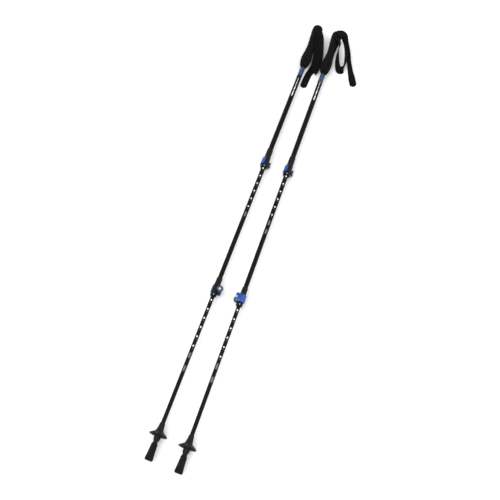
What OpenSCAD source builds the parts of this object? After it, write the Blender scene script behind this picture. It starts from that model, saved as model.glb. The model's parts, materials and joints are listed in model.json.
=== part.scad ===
// A pair of three-section trekking poles lying side by side, tips at -Y and grips at +Y.
// Each pole is drawn upright in its own frame, with its foot at z = 0, and then laid down:
// x is to the right, y is down towards the ground and z runs from the foot to the head.

/* [Pair] */
// Length of one pole with all its sections drawn out
pole_length = 1350; // [1340:1:1370]
// Distance between the two pole axes at the feet
foot_gap = 73.4; // [72:0.1:90]
// Distance between the two pole axes at the heads
head_gap = 62; // [61:0.1:90]
// How far the right pole lies behind the left one
right_setback = 5; // [0:1:20]

/* [Tubes] */
// Outer diameter of the upper tube
upper_d = 14; // [13.8:0.1:14.2]
// Outer diameter of the middle tube
middle_d = 12; // [11.8:0.1:12]
// Outer diameter of the lower tube
lower_d = 10; // [9.8:0.1:10]
// Radial play of one tube in the next
slip = 0.08; // [0.05:0.01:0.1]
// Wall of the lower tube
lower_wall = 0.9; // [0.7:0.1:1.2]

/* [Locks] */
// Height of the lower end of the upper lock
upper_lock_z = 817; // [800:1:830]
// Height of the lower end of the lower lock
lower_lock_z = 419; // [400:1:430]
// Length of the upper lock's collar
upper_collar_h = 62; // [55:1:70]
// Length of the lower lock's collar
lower_collar_h = 52; // [48:1:60]
// Distance from the pole's axis to the tension screw
screw_x = 12; // [12:0.1:12.5]
// Radius of the thumb nut
nut_r = 8.8; // [8:0.1:8.8]

/* [Tip] */
// Radius of the basket's rim, which the poles lie on
basket_r = 21.6; // [21.6:0.1:26]
// Height of the rubber foot
foot_h = 39; // [36:1:40]
// Radius of the rubber foot near its tread
foot_r = 9.8; // [9:0.1:11]
// Number of lobes on the basket
lobes = 8; // [6:2:12]

/* [Grip] */
// Height of the lower end of the foam grip
grip_z = 1190; // [1186:1:1195]
// Radius of the head
head_r = 15.4; // [15:0.1:15.8]
// Width of the wrist strap's webbing
strap_w = 21; // [18:1:21]
// Thickness of the wrist strap's webbing
strap_t = 1.6; // [1.2:0.1:2]

/* [Hidden] */
$fn = 64;
PIECES = [
    "upper_shaft", "grip_foam", "grip_head", "grip_trim_ring", "strap_wedge", "strap_pin",
    "strap_anchor", "strap_webbing", "strap_tail", "upper_clamp_collar", "upper_lock_lever",
    "upper_lever_pin", "upper_tension_screw", "upper_thumb_nut", "middle_shaft",
    "middle_guide_bush", "lower_clamp_collar", "lower_lock_lever", "lower_lever_pin",
    "lower_tension_screw", "lower_thumb_nut", "lower_shaft", "lower_guide_bush",
    "flex_tip", "carbide_tip", "basket", "rubber_foot"
];

upper_r = upper_d / 2;
middle_r = middle_d / 2;
lower_r = lower_d / 2;
upper_bore = middle_r + slip;
middle_bore = lower_r + slip;
lower_bore = lower_r - lower_wall;
axis_h = basket_r;
splay = atan((foot_gap - head_gap) / 2 / pole_length);
// The right strap reaches further from the middle than the left basket does.
strap_reach = 134.74;
centre_x = (strap_reach - foot_gap / 2 - basket_r) / 2;
pole_mid = (pole_length + right_setback) / 2;

clamp_h = 32;           // part of a collar that grips the inner tube
ear_z = 20;             // height of the tension screw in a lock
ear_gap = 1.1;          // half of the gap between a collar's ears
ear_h = 18;             // height of the ears
ear_y = 6;              // outer faces of the ears
pin_y = 9.2;            // place of the lever's pin
boss_r = 3.1;
screw_r = 1.8;
lever_pin_r = 1.3;
run = 0.06;             // radial play of what turns

middle_top = 915;
lower_top = 515;
upper_top = 1325;
head_z = 1300;
pin_z = 1331;           // height of the strap's pin in the head
anchor_end = 10.8;      // how far the strap's anchor reaches up from the pole's axis
tip_socket_z = 74;      // where the lower tube starts

black = [0.06, 0.06, 0.065];
blue = [0.05, 0.28, 0.62];
steel = [0.75, 0.76, 0.78];

// Lays a pole down on its basket and grip, left or right of the middle.
module lay(side) {
    s = side == "left" ? -1 : 1;
    back = side == "left" ? 0 : right_setback;
    translate([s * foot_gap / 2 - centre_x, -pole_mid + right_setback - back, axis_h])
        rotate([0, 0, s * splay])
            rotate([-90, 0, 0])
                children();
}

// A ring around the pole's axis.
module ring(outer, inner, z0, z1) {
    translate([0, 0, z0])
        difference() {
            cylinder(r = outer, h = z1 - z0);
            translate([0, 0, -1]) cylinder(r = inner, h = z1 - z0 + 2);
        }
}

// ---- tubes ----

module upper_shaft() {
    color(black) ring(upper_r, upper_bore, upper_lock_z + clamp_h, upper_top);
}

module middle_shaft() {
    color(black) ring(middle_r, middle_bore, lower_lock_z + clamp_h, middle_top);
}

module lower_shaft() {
    color(black) ring(lower_r, lower_bore, tip_socket_z, lower_top);
}

// A plastic cap on a tube's inner end, which keeps it centred in the next tube.
module guide_bush(top, fit_r, tube_bore) {
    color("dimgray")
        rotate_extrude()
            polygon([
                [tube_bore - 1, top - 14], [tube_bore - 0.02, top - 14], [tube_bore - 0.02, top],
                [fit_r - 0.04, top], [fit_r - 0.04, top + 4], [fit_r - 0.8, top + 6],
                [tube_bore - 1, top + 6]
            ]);
}

// ---- locks ----
// A lock stands on z = 0 around the axis, with its ears towards +x, its lever at +y
// and its thumb nut at -y.

// A plate in the x-z plane with rounded outer corners, between two y values.
module ear(y0, y1) {
    r = 4;
    x1 = screw_x + 3.8;
    translate([0, y1, ear_z])
        rotate([90, 0, 0])
            linear_extrude(y1 - y0) {
                translate([4, -ear_h / 2]) square([x1 - 4 - r, ear_h]);
                translate([4, r - ear_h / 2]) square([x1 - 4, ear_h - 2 * r]);
                for (k = [-1, 1]) translate([x1 - r, k * (ear_h / 2 - r)]) circle(r = r);
            }
}

module clamp_collar(sleeve, grip, h) {
    out = sleeve + 2.3;
    color(black)
        difference() {
            union() {
                rotate_extrude()
                    polygon([
                        [grip, 0], [out - 1, 0], [out, 1.5], [out, clamp_h + 2],
                        [out - 0.5, clamp_h + 3], [sleeve + 1.2, h - 1.5], [sleeve + 0.7, h],
                        [grip, h]
                    ]);
                ear(ear_gap, ear_y);
                ear(-ear_y, -ear_gap);
            }
            translate([0, 0, -1]) cylinder(r = grip, h = h + 2);
            translate([0, 0, clamp_h]) cylinder(r = sleeve, h = h);
            translate([0, -ear_gap, -1]) cube([screw_x + 8, 2 * ear_gap, clamp_h + 1]);
            translate([screw_x, 0, ear_z])
                rotate([90, 0, 0])
                    cylinder(r = screw_r + run, h = 4 * ear_y, center = true);
        }
}

// A flat-topped cam lever that wraps the collar and turns on a pin along the pole.
module lock_lever(sleeve) {
    in = sleeve + 2.3 + 0.4;
    out = pin_y + boss_r;
    z0 = ear_z - 10.5;
    color(blue)
        difference() {
            translate([0, 0, z0])
                linear_extrude(21)
                    difference() {
                        union() {
                            translate([screw_x, pin_y]) circle(r = boss_r);
                            polygon([[screw_x, out], [0, out], [0, in], [7, 6.8], [screw_x - 1, 6.8]]);
                            intersection() {
                                circle(r = out);
                                polygon([[0, 0], [0, 30], [-30, 30], [-30, 17]]);
                            }
                        }
                        circle(r = in);
                        translate([screw_x, pin_y]) circle(r = lever_pin_r + run);
                    }
            // slot for the eye of the tension screw, open on the side that it turns to
            translate([screw_x - boss_r - 0.1, 0, ear_z - 2.2]) cube([20, 20, 4.4]);
        }
}

module lever_pin() {
    color(steel) translate([screw_x, pin_y, ear_z - 10.2]) cylinder(r = lever_pin_r, h = 20.4);
}

// A screw with an eye around the lever's pin, and a domed end in the thumb nut.
module tension_screw() {
    color(steel)
        difference() {
            union() {
                translate([screw_x, pin_y, ear_z - 2]) cylinder(r = 2.9, h = 4);
                translate([screw_x, pin_y - 1.5, ear_z])
                    rotate([90, 0, 0])
                        rotate_extrude()
                            polygon([[0, 0], [screw_r, 0], [screw_r, 20.4], [3, 20.4], [3, 21.4],
                                     [2.2, 22], [0, 22]]);
            }
            translate([screw_x, pin_y, 0]) cylinder(r = lever_pin_r, h = 30);
        }
}

module thumb_nut() {
    bore = screw_r + run;
    color(blue)
        translate([screw_x, 0, ear_z])
            rotate([90, 0, 0])
                difference() {
                    rotate_extrude()
                        polygon([
                            [bore, ear_y + 0.1], [4.4, ear_y + 0.1], [4.4, 9.1], [nut_r - 0.6, 9.1],
                            [nut_r, 9.7], [nut_r, 13], [nut_r - 0.8, 13.7], [6.4, 13.7], [5.8, 12.5],
                            [bore, 12.5]
                        ]);
                    for (k = [0 : 11])
                        rotate([0, 0, k * 30])
                            translate([nut_r + 0.5, 0, 8]) cylinder(r = 1.1, h = 8, $fn = 24);
                }
}

// ---- tip ----

module flex_tip() {
    color(black)
        difference() {
            rotate_extrude()
                polygon([
                    [0, 13], [3.6, 13], [4.8, 15], [4.8, foot_h], [6.2, foot_h + 0.1],
                    [5.7, foot_h + 4], [5.9, foot_h + 7], [5.9, tip_socket_z - 1],
                    [lower_r, tip_socket_z], [lower_bore - 0.02, tip_socket_z],
                    [lower_bore - 0.02, 95], [lower_bore - 0.8, 97], [0, 97]
                ]);
            translate([0, 0, 12]) cylinder(r = 2, h = 9);
        }
}

module carbide_tip() {
    color(steel)
        rotate_extrude()
            polygon([[0, 9.2], [0.6, 8.6], [1.7, 8.4], [2, 9], [2, 21], [0, 21]]);
}

module basket() {
    rim_z = 57.4;
    color(black)
        difference() {
            rotate_extrude()
                polygon([
                    [5.9 + run, foot_h + 7], [7, foot_h + 7], [8, 53], [8.4, 60],
                    [12, 61.4], [20.6, rim_z], [basket_r, rim_z + 0.6], [basket_r, rim_z + 2],
                    [basket_r - 0.8, rim_z + 2.8], [13, 65], [9.2, 68.4], [7.3, 77], [6, 88],
                    [lower_r + run, 88], [lower_r + run, tip_socket_z + 0.4],
                    [5.9 + run, tip_socket_z + 0.4]
                ]);
            for (k = [0 : lobes - 1])
                rotate([0, 0, 90 + (k + 0.5) * 360 / lobes]) {
                    translate([basket_r + 1.6, 0, rim_z - 5]) cylinder(r = 4, h = 12);
                    translate([14.6, 0, rim_z - 5]) cylinder(r = 1.9, h = 16);
                }
        }
}

module rubber_foot() {
    color([0.09, 0.085, 0.08])
        rotate_extrude()
            polygon([
                [0, 0], [7, 0], [9, 0.7], [foot_r, 2.4], [foot_r - 0.1, 6], [7.5, foot_h - 2],
                [6.9, foot_h], [4.8 + 0.05, foot_h], [4.8 + 0.05, 7], [0, 7]
            ]);
}

// ---- grip ----

module grip_foam() {
    color([0.05, 0.05, 0.05])
        rotate_extrude()
            polygon([
                [upper_r, grip_z], [9.3, grip_z], [10.8, grip_z + 2], [14, grip_z + 14],
                [15.3, grip_z + 24], [15.2, grip_z + 34], [13.5, grip_z + 51], [12, grip_z + 67],
                [11.5, grip_z + 80], [12, grip_z + 95], [13, head_z], [upper_r, head_z]
            ]);
}

// The head has a beak over the fingers, on its lower side, and a slot for the strap above.
module grip_head() {
    top = pole_length - 0.1;
    color(black)
        difference() {
            union() {
                rotate_extrude()
                    polygon([
                        [0, head_z], [13.1, head_z], [13.6, head_z + 6], [head_r - 0.9, head_z + 19],
                        [head_r, pin_z - 4], [head_r, pin_z + 6], [head_r - 1, top - 6.5],
                        [head_r - 3.4, top - 2.4], [head_r - 7, top - 0.5], [0, top]
                    ]);
                hull() {
                    translate([0, axis_h - 6.5, 1334]) sphere(r = 6.5, $fn = 32);
                    translate([0, 4, 1336]) sphere(r = 9, $fn = 32);
                    translate([0, 4, 1318]) sphere(r = 8, $fn = 32);
                }
            }
            translate([0, 0, head_z - 1]) cylinder(r = upper_r, h = upper_top - head_z + 1);
            translate([-12, -30, pin_z - 4]) cube([24, 34, 11.4]);
            translate([0, 0, pin_z]) rotate([0, 90, 0]) cylinder(r = 1.5, h = 27, center = true);
        }
}

module grip_trim_ring() {
    color(blue) ring(upper_r + 0.35, upper_r, 1150, 1180);
}

module strap_pin() {
    color(steel)
        translate([0, 0, pin_z]) rotate([0, 90, 0]) cylinder(r = 1.5, h = 26.6, center = true);
}

// The webbing's inner end, sewn around the pin and led out through the slot.
module strap_anchor() {
    color(black)
        difference() {
            union() {
                translate([0, 0, pin_z])
                    rotate([0, 90, 0]) cylinder(r = 3, h = strap_w - 1, center = true);
                translate([-strap_w / 2 + 0.5, -anchor_end, pin_z - strap_t / 2])
                    cube([strap_w - 1, anchor_end - 1.2, strap_t]);
            }
            translate([0, 0, pin_z]) rotate([0, 90, 0]) cylinder(r = 1.5, h = 40, center = true);
        }
}

module strap_wedge() {
    color("dimgray")
        translate([-10.6, 0, 0])
            rotate([90, 0, 90])
                linear_extrude(21.2)
                    polygon([[-12.2, pin_z + 3.7], [-12.2, pin_z + 7], [-1, pin_z + 7],
                             [-1, pin_z + 4.4]]);
}

// ---- wrist strap ----
// A row of a band is its middle [x, height above the axis, z] and the way its width runs.

function unit(v) = v / norm(v);
function mid(row) = [row[0][0], -row[0][1], row[0][2]];
function across(row) = [row[1][0], -row[1][1], row[1][2]];
function along(rows, i) =
    unit(mid(rows[min(i + 1, len(rows) - 1)]) - mid(rows[max(i - 1, 0)]));
function square_to(v, t) = unit(v - (v * t) * t);
// Points on a smooth curve through the rows, a few to each stretch.
function spline(a, b, c, d, t) =
    0.5 * (2 * b + (c - a) * t + (2 * a - 5 * b + 4 * c - d) * t * t
           + (3 * b - a - 3 * c + d) * t * t * t);
function smooth(rows, n) = [
    for (i = [0 : len(rows) - 2], k = [0 : n - 1])
        let (a = rows[max(i - 1, 0)], b = rows[i], c = rows[i + 1],
             d = rows[min(i + 2, len(rows) - 1)], t = k / n)
            [spline(a[0], b[0], c[0], d[0], t), spline(a[1], b[1], c[1], d[1], t)],
    rows[len(rows) - 1]
];

// A flat band swept along its rows.
module band(rows, w, t) {
    s = smooth(rows, 3);
    n = len(s);
    points = [
        for (i = [0 : n - 1])
            let (dir = along(s, i), wide = square_to(across(s[i]), dir), thick = cross(dir, wide))
                for (k = [[-1, -1], [1, -1], [1, 1], [-1, 1]])
                    mid(s[i]) + wide * k[0] * w / 2 + thick * k[1] * t / 2
    ];
    sides = [
        for (i = [0 : n - 2], k = [0 : 3])
            let (a = 4 * i + k, b = 4 * i + (k + 1) % 4)
                each [[a, b + 4, b], [a, a + 4, b + 4]]
    ];
    color(black)
        polyhedron(points, concat([[0, 1, 2, 3]], sides, [[for (k = [3, 2, 1, 0]) 4 * n - 4 + k]]));
}

floor_flat = strap_t / 2 + 0.3 - axis_h;  // height of a band flat on the ground

// Left strap: laid over the right flank of the grip, with its tail underneath.
left_loop = [
    [[0, 14.2, 1333.4], [1, 0, 0]], [[0.3, 19, 1333.3], [1, 0, 0]],
    [[1.5, 22, 1329.5], [1, 0, 0]], [[6, 21.8, 1320], [1, -0.2, 0]],
    [[13, 19.3, 1310], [0.93, -0.36, 0]], [[22, 11.5, 1295], [0.87, -0.5, 0]],
    [[29.5, 3, 1270], [0.87, -0.5, 0]], [[34.5, -2, 1250], [0.9, -0.43, 0]],
    [[36.6, -6.2, 1232], [0.93, -0.37, 0]], [[36.6, -9.2, 1216], [0.95, -0.3, 0]],
    [[35.4, -12.4, 1203], [0.97, -0.2, -0.1]], [[33.4, -13.8, 1195], [0.97, 0, -0.22]],
    [[32.2, -15, 1192.6], [0.96, 0, -0.26]], [[31.2, -16.1, 1195], [0.98, 0, -0.18]],
    [[29, -15.6, 1203], [0.99, -0.1, -0.1]], [[28, -12, 1215], [0.92, -0.38, 0]],
    [[27, -5.3, 1232], [0.78, -0.62, 0]], [[23.4, 0.4, 1250], [0.72, -0.69, 0]],
    [[20.2, 4.8, 1270], [0.75, -0.66, 0]], [[17, 9.4, 1290], [0.8, -0.6, 0]],
    [[14.3, 13, 1306], [0.87, -0.5, 0]], [[7.5, 18, 1318], [0.97, -0.24, 0]],
    [[2, 19.8, 1326.5], [1, 0, 0]], [[0.3, 18.2, 1330.4], [1, 0, 0]],
    [[0, 14.2, 1331], [1, 0, 0]]
];
left_tail = [
    [[0, 14.2, 1328.6], [1, 0, 0]], [[0.3, 16.2, 1328.2], [1, 0, 0]],
    [[1.5, 17.4, 1325.4], [1, -0.05, 0]], [[6.9, 15.5, 1318], [0.97, -0.24, 0]],
    [[12.8, 10.2, 1306], [0.87, -0.5, 0]], [[15.4, 7.2, 1290], [0.8, -0.6, 0]],
    [[18.2, 2.4, 1270], [0.75, -0.66, 0]], [[20.8, -2.6, 1250], [0.7, -0.71, 0]],
    [[24.5, -9, 1232], [0.75, -0.66, 0]], [[26.5, -15.8, 1215], [0.9, -0.36, 0]],
    [[24.5, -19.6, 1200], [0.99, -0.05, 0]], [[20, floor_flat, 1184], [1, 0, -0.1]],
    [[18.5, floor_flat, 1166], [1, 0, 0]], [[18, floor_flat, 1148], [1, 0, 0]],
    [[17.6, floor_flat, 1131], [1, 0, 0.2]]
];
// Right strap: thrown out to the right, its strands standing on edge.
right_loop = [
    [[0.5, 22.2, 1330.5], [0.25, 0, 0.97]], [[8, 22.8, 1332], [0.15, 0, 0.98]],
    [[16, 21.6, 1332.4], [0.1, 0.3, 0.95]], [[23, 16.8, 1330.2], [0.1, 0.7, 0.7]],
    [[28.3, 9.4, 1324], [0.2, 0.88, 0.42]], [[35.2, 2.8, 1311.4], [0.3, 0.93, 0.15]],
    [[43.4, -4, 1290], [0.4, 0.9, 0]],
    [[48, -8, 1270], [0.4, 0.9, 0]], [[49.5, -9.5, 1252], [0.35, 0.93, 0]],
    [[49.6, -10.6, 1238], [0.1, 0.85, 0.5]], [[45, -12.6, 1228], [0, 0.62, 0.78]],
    [[37.5, -12.6, 1228], [0.1, 0.65, 0.75]], [[30.5, -11, 1238], [0.35, 0.85, 0.4]],
    [[25, -8, 1253], [0.45, 0.88, 0.1]], [[20.5, -2, 1272], [0.3, 0.95, 0]],
    [[18.5, 5, 1292], [0, 1, 0]], [[15.6, 12.4, 1306], [-0.5, 0.85, 0]],
    [[9, 16.6, 1313.5], [-0.85, 0.5, 0]], [[3.4, 17.8, 1320], [-0.98, 0.15, 0]],
    [[0.5, 17.3, 1328.5], [-1, 0, 0]]
];
right_tail = [
    [[0.5, 19.8, 1330.5], [0.25, 0, 0.97]], [[8, 20.3, 1332], [0.15, 0, 0.98]],
    [[14.6, 18.4, 1333], [0.1, 0.3, 0.95]], [[21.2, 13.6, 1333], [0.1, 0.7, 0.7]],
    [[29.7, 8, 1327.5], [0.2, 0.88, 0.42]], [[38, 1.8, 1314], [0.3, 0.93, 0.15]],
    [[48.6, -4.2, 1292], [0.42, 0.9, 0]],
    [[55.6, -8.6, 1274], [0.47, 0.88, 0]], [[61.4, -10, 1256], [0.5, 0.86, 0]],
    [[73.9, -11.4, 1225], [0.66, 0.75, 0]], [[82, -14, 1209], [0.87, 0.5, 0.1]],
    [[89, -17.4, 1196], [0.97, 0.2, 0.15]], [[94, floor_flat + 0.3, 1186], [0.95, 0, 0.3]]
];

module strap_webbing(side) {
    band(side == "left" ? left_loop : right_loop, strap_w, strap_t);
}

module strap_tail(side) {
    band(side == "left" ? left_tail : right_tail, strap_w - 1, strap_t);
}

// ---- assembly ----

module upper_lock_place(side) {
    translate([0, 0, upper_lock_z]) rotate([0, 0, side == "left" ? 93 : 90]) children();
}

module lower_lock_place(side) {
    translate([0, 0, lower_lock_z]) rotate([0, 0, side == "left" ? 0 : 180]) children();
}

module piece(side, name) {
    if (name == "upper_shaft") upper_shaft();
    if (name == "middle_shaft") middle_shaft();
    if (name == "lower_shaft") lower_shaft();
    if (name == "middle_guide_bush") guide_bush(middle_top, upper_bore, middle_bore);
    if (name == "lower_guide_bush") guide_bush(lower_top, middle_bore, lower_bore);
    if (name == "upper_clamp_collar")
        upper_lock_place(side) clamp_collar(upper_r, upper_bore, upper_collar_h);
    if (name == "upper_lock_lever") upper_lock_place(side) lock_lever(upper_r);
    if (name == "upper_lever_pin") upper_lock_place(side) lever_pin();
    if (name == "upper_tension_screw") upper_lock_place(side) tension_screw();
    if (name == "upper_thumb_nut") upper_lock_place(side) thumb_nut();
    if (name == "lower_clamp_collar")
        lower_lock_place(side) clamp_collar(middle_r, middle_bore, lower_collar_h);
    if (name == "lower_lock_lever") lower_lock_place(side) lock_lever(middle_r);
    if (name == "lower_lever_pin") lower_lock_place(side) lever_pin();
    if (name == "lower_tension_screw") lower_lock_place(side) tension_screw();
    if (name == "lower_thumb_nut") lower_lock_place(side) thumb_nut();
    if (name == "flex_tip") flex_tip();
    if (name == "carbide_tip") carbide_tip();
    if (name == "basket") basket();
    if (name == "rubber_foot") rubber_foot();
    if (name == "grip_foam") grip_foam();
    if (name == "grip_head") grip_head();
    if (name == "grip_trim_ring") grip_trim_ring();
    if (name == "strap_pin") strap_pin();
    if (name == "strap_anchor") strap_anchor();
    if (name == "strap_wedge") strap_wedge();
    if (name == "strap_webbing") strap_webbing(side);
    if (name == "strap_tail") strap_tail(side);
}

for (side = ["left", "right"])
    for (name = PIECES)
        lay(side) piece(side, name);
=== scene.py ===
"""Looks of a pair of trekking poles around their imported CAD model.

Lengths are in millimetres in each pole's own frame: x to the right, y down towards the ground
and z from the foot to the head. Each piece is turned into the row frame, in metres, as it is made.
"""
import json
import math

import bmesh
import bpy
from mathutils import Matrix, Vector
from mathutils.noise import noise as lattice_noise


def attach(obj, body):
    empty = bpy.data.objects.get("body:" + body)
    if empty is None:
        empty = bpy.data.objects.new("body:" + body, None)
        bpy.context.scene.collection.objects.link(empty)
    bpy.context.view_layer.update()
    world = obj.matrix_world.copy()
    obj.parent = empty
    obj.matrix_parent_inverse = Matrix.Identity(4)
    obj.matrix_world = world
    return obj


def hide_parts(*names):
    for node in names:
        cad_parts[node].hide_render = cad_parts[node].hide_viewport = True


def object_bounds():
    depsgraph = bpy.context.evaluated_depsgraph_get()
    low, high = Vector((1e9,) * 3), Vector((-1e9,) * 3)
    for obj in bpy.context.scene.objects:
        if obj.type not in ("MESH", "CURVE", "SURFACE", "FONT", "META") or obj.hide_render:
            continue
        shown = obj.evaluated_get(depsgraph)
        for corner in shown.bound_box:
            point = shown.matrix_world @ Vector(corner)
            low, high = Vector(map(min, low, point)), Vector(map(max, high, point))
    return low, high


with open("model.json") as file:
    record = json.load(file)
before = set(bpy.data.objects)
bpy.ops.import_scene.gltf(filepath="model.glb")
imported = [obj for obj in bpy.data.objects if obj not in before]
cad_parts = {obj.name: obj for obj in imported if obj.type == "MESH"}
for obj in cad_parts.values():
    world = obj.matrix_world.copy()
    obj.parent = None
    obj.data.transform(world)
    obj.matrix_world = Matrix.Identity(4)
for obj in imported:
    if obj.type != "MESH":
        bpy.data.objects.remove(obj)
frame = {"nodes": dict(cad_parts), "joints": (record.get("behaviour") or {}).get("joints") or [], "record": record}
cad_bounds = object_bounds()

MM = 0.001
SIDES = ("left", "right")
UP = Vector((0, 0, 1))
MOUNTS = {mount["name"]: mount for mount in frame["record"]["mounts"]}
JOINTS = {joint["name"]: joint for joint in frame["joints"]}


# ---- frames ----

def pole_frame(side):
    """The matrix from a pole's own frame, in millimetres, to the row frame."""
    tread = MOUNTS[f"{side}_foot_tread"]
    axis = -Vector(tread["axis"]).normalized()
    right = axis.cross(UP).normalized()
    turned = Matrix((right, -UP, axis)).transposed().to_4x4()
    return Matrix.Translation(Vector(tread["pos_m"])) @ turned @ Matrix.Scale(MM, 4)


POLE = {side: pole_frame(side) for side in SIDES}


def joint_place(side, name):
    """A hinge's point in its pole's frame."""
    return POLE[side].inverted() @ Vector(JOINTS[f"{side}_{name}"]["pos_m"])


def lock_frame(side, which):
    """A lock's own frame: z = 0 at its lower end, ears towards +x, thumb nut towards -y."""
    screw = joint_place(side, f"{which}_nut_turn")
    spin = JOINTS[f"{side}_{which}_nut_turn"]["axis"]
    away = POLE[side].inverted().to_3x3() @ Vector(spin)
    turn = math.atan2(away.x, -away.y)
    return POLE[side] @ Matrix.Translation((0, 0, screw.z - EAR_Z)) @ Matrix.Rotation(turn, 4, "Z")


# ---- sizes that the CAD model also has ----

UPPER_R, MIDDLE_R, LOWER_R = 7.0, 6.0, 5.0
SLIP = 0.08         # radial play of one tube in the next
FIT = 0.02          # gap between a sleeve and the tube inside it
BASKET_R = 21.6     # the poles lie on the rims of their baskets
EAR_Z = 20.0
SCREW_X = 12.0
PIN_Y = 9.2
BOSS_R = 3.1
NUT_R = 8.8


# ---- mesh tools ----

def tidy_mesh(mesh, sharp):
    """Merges what coincides, turns the normals outwards and shades smooth below the angle sharp."""
    work = bmesh.new()
    work.from_mesh(mesh)
    bmesh.ops.remove_doubles(work, verts=work.verts, dist=1e-7)
    bmesh.ops.dissolve_degenerate(work, edges=work.edges, dist=1e-7)
    bmesh.ops.recalc_face_normals(work, faces=work.faces)
    work.to_mesh(mesh)
    work.free()
    mesh.shade_smooth()
    mesh.set_sharp_from_angle(angle=math.radians(sharp))


def solid(name, shape, matrix, sharp=35):
    """A closed mesh object from (points, faces), placed by a matrix."""
    points, faces = shape
    mesh = bpy.data.meshes.new(name)
    mesh.from_pydata([matrix @ Vector(point) for point in points], [], faces)
    tidy_mesh(mesh, sharp)
    made = bpy.data.objects.new(name, mesh)
    bpy.context.scene.collection.objects.link(made)
    return made


def apply_modifiers(piece):
    """Puts the result of a piece's modifiers into its mesh."""
    graph = bpy.context.evaluated_depsgraph_get()
    mesh = bpy.data.meshes.new_from_object(piece.evaluated_get(graph))
    piece.modifiers.clear()
    piece.data = mesh


def cut(piece, tools, operation="DIFFERENCE", sharp=35):
    """Cuts tools out of a piece, or joins them to it, and removes the tools."""
    for tool in tools:
        boolean = piece.modifiers.new("cut", "BOOLEAN")
        boolean.object = tool
        boolean.operation = operation
        boolean.solver = "EXACT"
        apply_modifiers(piece)
        bpy.data.objects.remove(tool)
    tidy_mesh(piece.data, sharp)
    return piece


def loft(rings, closed=False):
    """A skin over rings of points, capped at its ends or closed on itself."""
    size = len(rings[0])
    count = len(rings)
    faces = []
    for i in range(count if closed else count - 1):
        a = i * size
        b = (i + 1) % count * size
        faces += [(a + k, a + (k + 1) % size, b + (k + 1) % size, b + k) for k in range(size)]
    if not closed:
        faces += [tuple(reversed(range(size))), tuple(range((count - 1) * size, count * size))]
    return [point for ring in rings for point in ring], faces


def joined(shapes):
    """Several shapes as one."""
    points, faces = [], []
    for more, skins in shapes:
        faces += [tuple(index + len(points) for index in skin) for skin in skins]
        points += more
    return points, faces


def turned(profile, segments=96, closed=False, change=None):
    """A lathe shape. Angle 0 is away from the ground; change(angle, r, z) moves a point."""
    rings = []
    for r, z in profile:
        ring = []
        for k in range(segments):
            angle = 2 * math.pi * k / segments
            new_r, new_z = change(angle, r, z) if change else (r, z)
            ring.append((new_r * math.sin(angle), -new_r * math.cos(angle), new_z))
        rings.append(ring)
    return loft(rings, closed)


def rounded(corners, steps=4, closed=False):
    """An outline with each corner (a, b, radius) rounded off."""
    count = len(corners)
    outline = []
    for i, (a, b, radius) in enumerate(corners):
        here = Vector((a, b))
        if radius == 0 or not closed and i in (0, count - 1):
            outline.append((a, b))
            continue
        before = Vector(corners[i - 1][:2]) - here
        after = Vector(corners[(i + 1) % count][:2]) - here
        half = before.angle(after) / 2
        reach = min(radius / math.tan(half), before.length * 0.48, after.length * 0.48)
        start = here + before.normalized() * reach
        end = here + after.normalized() * reach
        for k in range(steps + 1):
            t = k / steps
            outline.append(tuple(start * (1 - t) ** 2 + here * 2 * t * (1 - t) + end * t * t))
    return outline


def refined(outline, step):
    """The outline with points added, so that none of its stretches is longer than step."""
    fine = []
    for here, after in zip(outline, outline[1:]):
        parts = max(1, math.ceil(math.dist(here, after) / step))
        fine += [tuple(a + (b - a) * k / parts for a, b in zip(here, after)) for k in range(parts)]
    return fine + [outline[-1]]


def spline_point(before, start, end, after, t):
    """A point on the smooth curve from start to end."""
    return 0.5 * (2 * start + (end - before) * t
                  + (2 * before - 5 * start + 4 * end - after) * t * t
                  + (3 * start - before - 3 * end + after) * t ** 3)


def smooth_curve(points, steps):
    """Points on a smooth curve through the given ones, with steps to each stretch."""
    rows = [Vector(point) for point in points]
    last = len(rows) - 1
    curve = []
    for i in range(last):
        ends = (rows[max(i - 1, 0)], rows[i], rows[i + 1], rows[min(i + 2, last)])
        curve += [spline_point(*ends, k / steps) for k in range(steps)]
    return curve + [rows[last]]


def box_shape(low, high):
    """A box between two corners."""
    (x0, y0, z0), (x1, y1, z1) = low, high
    return loft([[(x0, y0, z), (x1, y0, z), (x1, y1, z), (x0, y1, z)] for z in (z0, z1)])


def rod_shape(radius, length, segments=48):
    """A rod along z, half of it on each side of z = 0."""
    return turned([(radius, -length / 2), (radius, length / 2)], segments)


def bump_up(x, low, high, soft):
    """1 between low and high, and 0 outside, with soft shoulders."""
    def step(value):
        t = min(1, max(0, value))
        return t * t * (3 - 2 * t)
    return step((x - low) / soft + 0.5) * step((high - x) / soft + 0.5)


def settle(piece, body, slot, materials, *replaced):
    """Gives a finished piece its body, its materials and what it stands for. slot is not used."""
    piece.data.materials.clear()
    for material in materials if isinstance(materials, (list, tuple)) else [materials]:
        piece.data.materials.append(material)
    if replaced:
        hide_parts(*replaced)
    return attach(piece, body)


# ---- materials ----

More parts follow.
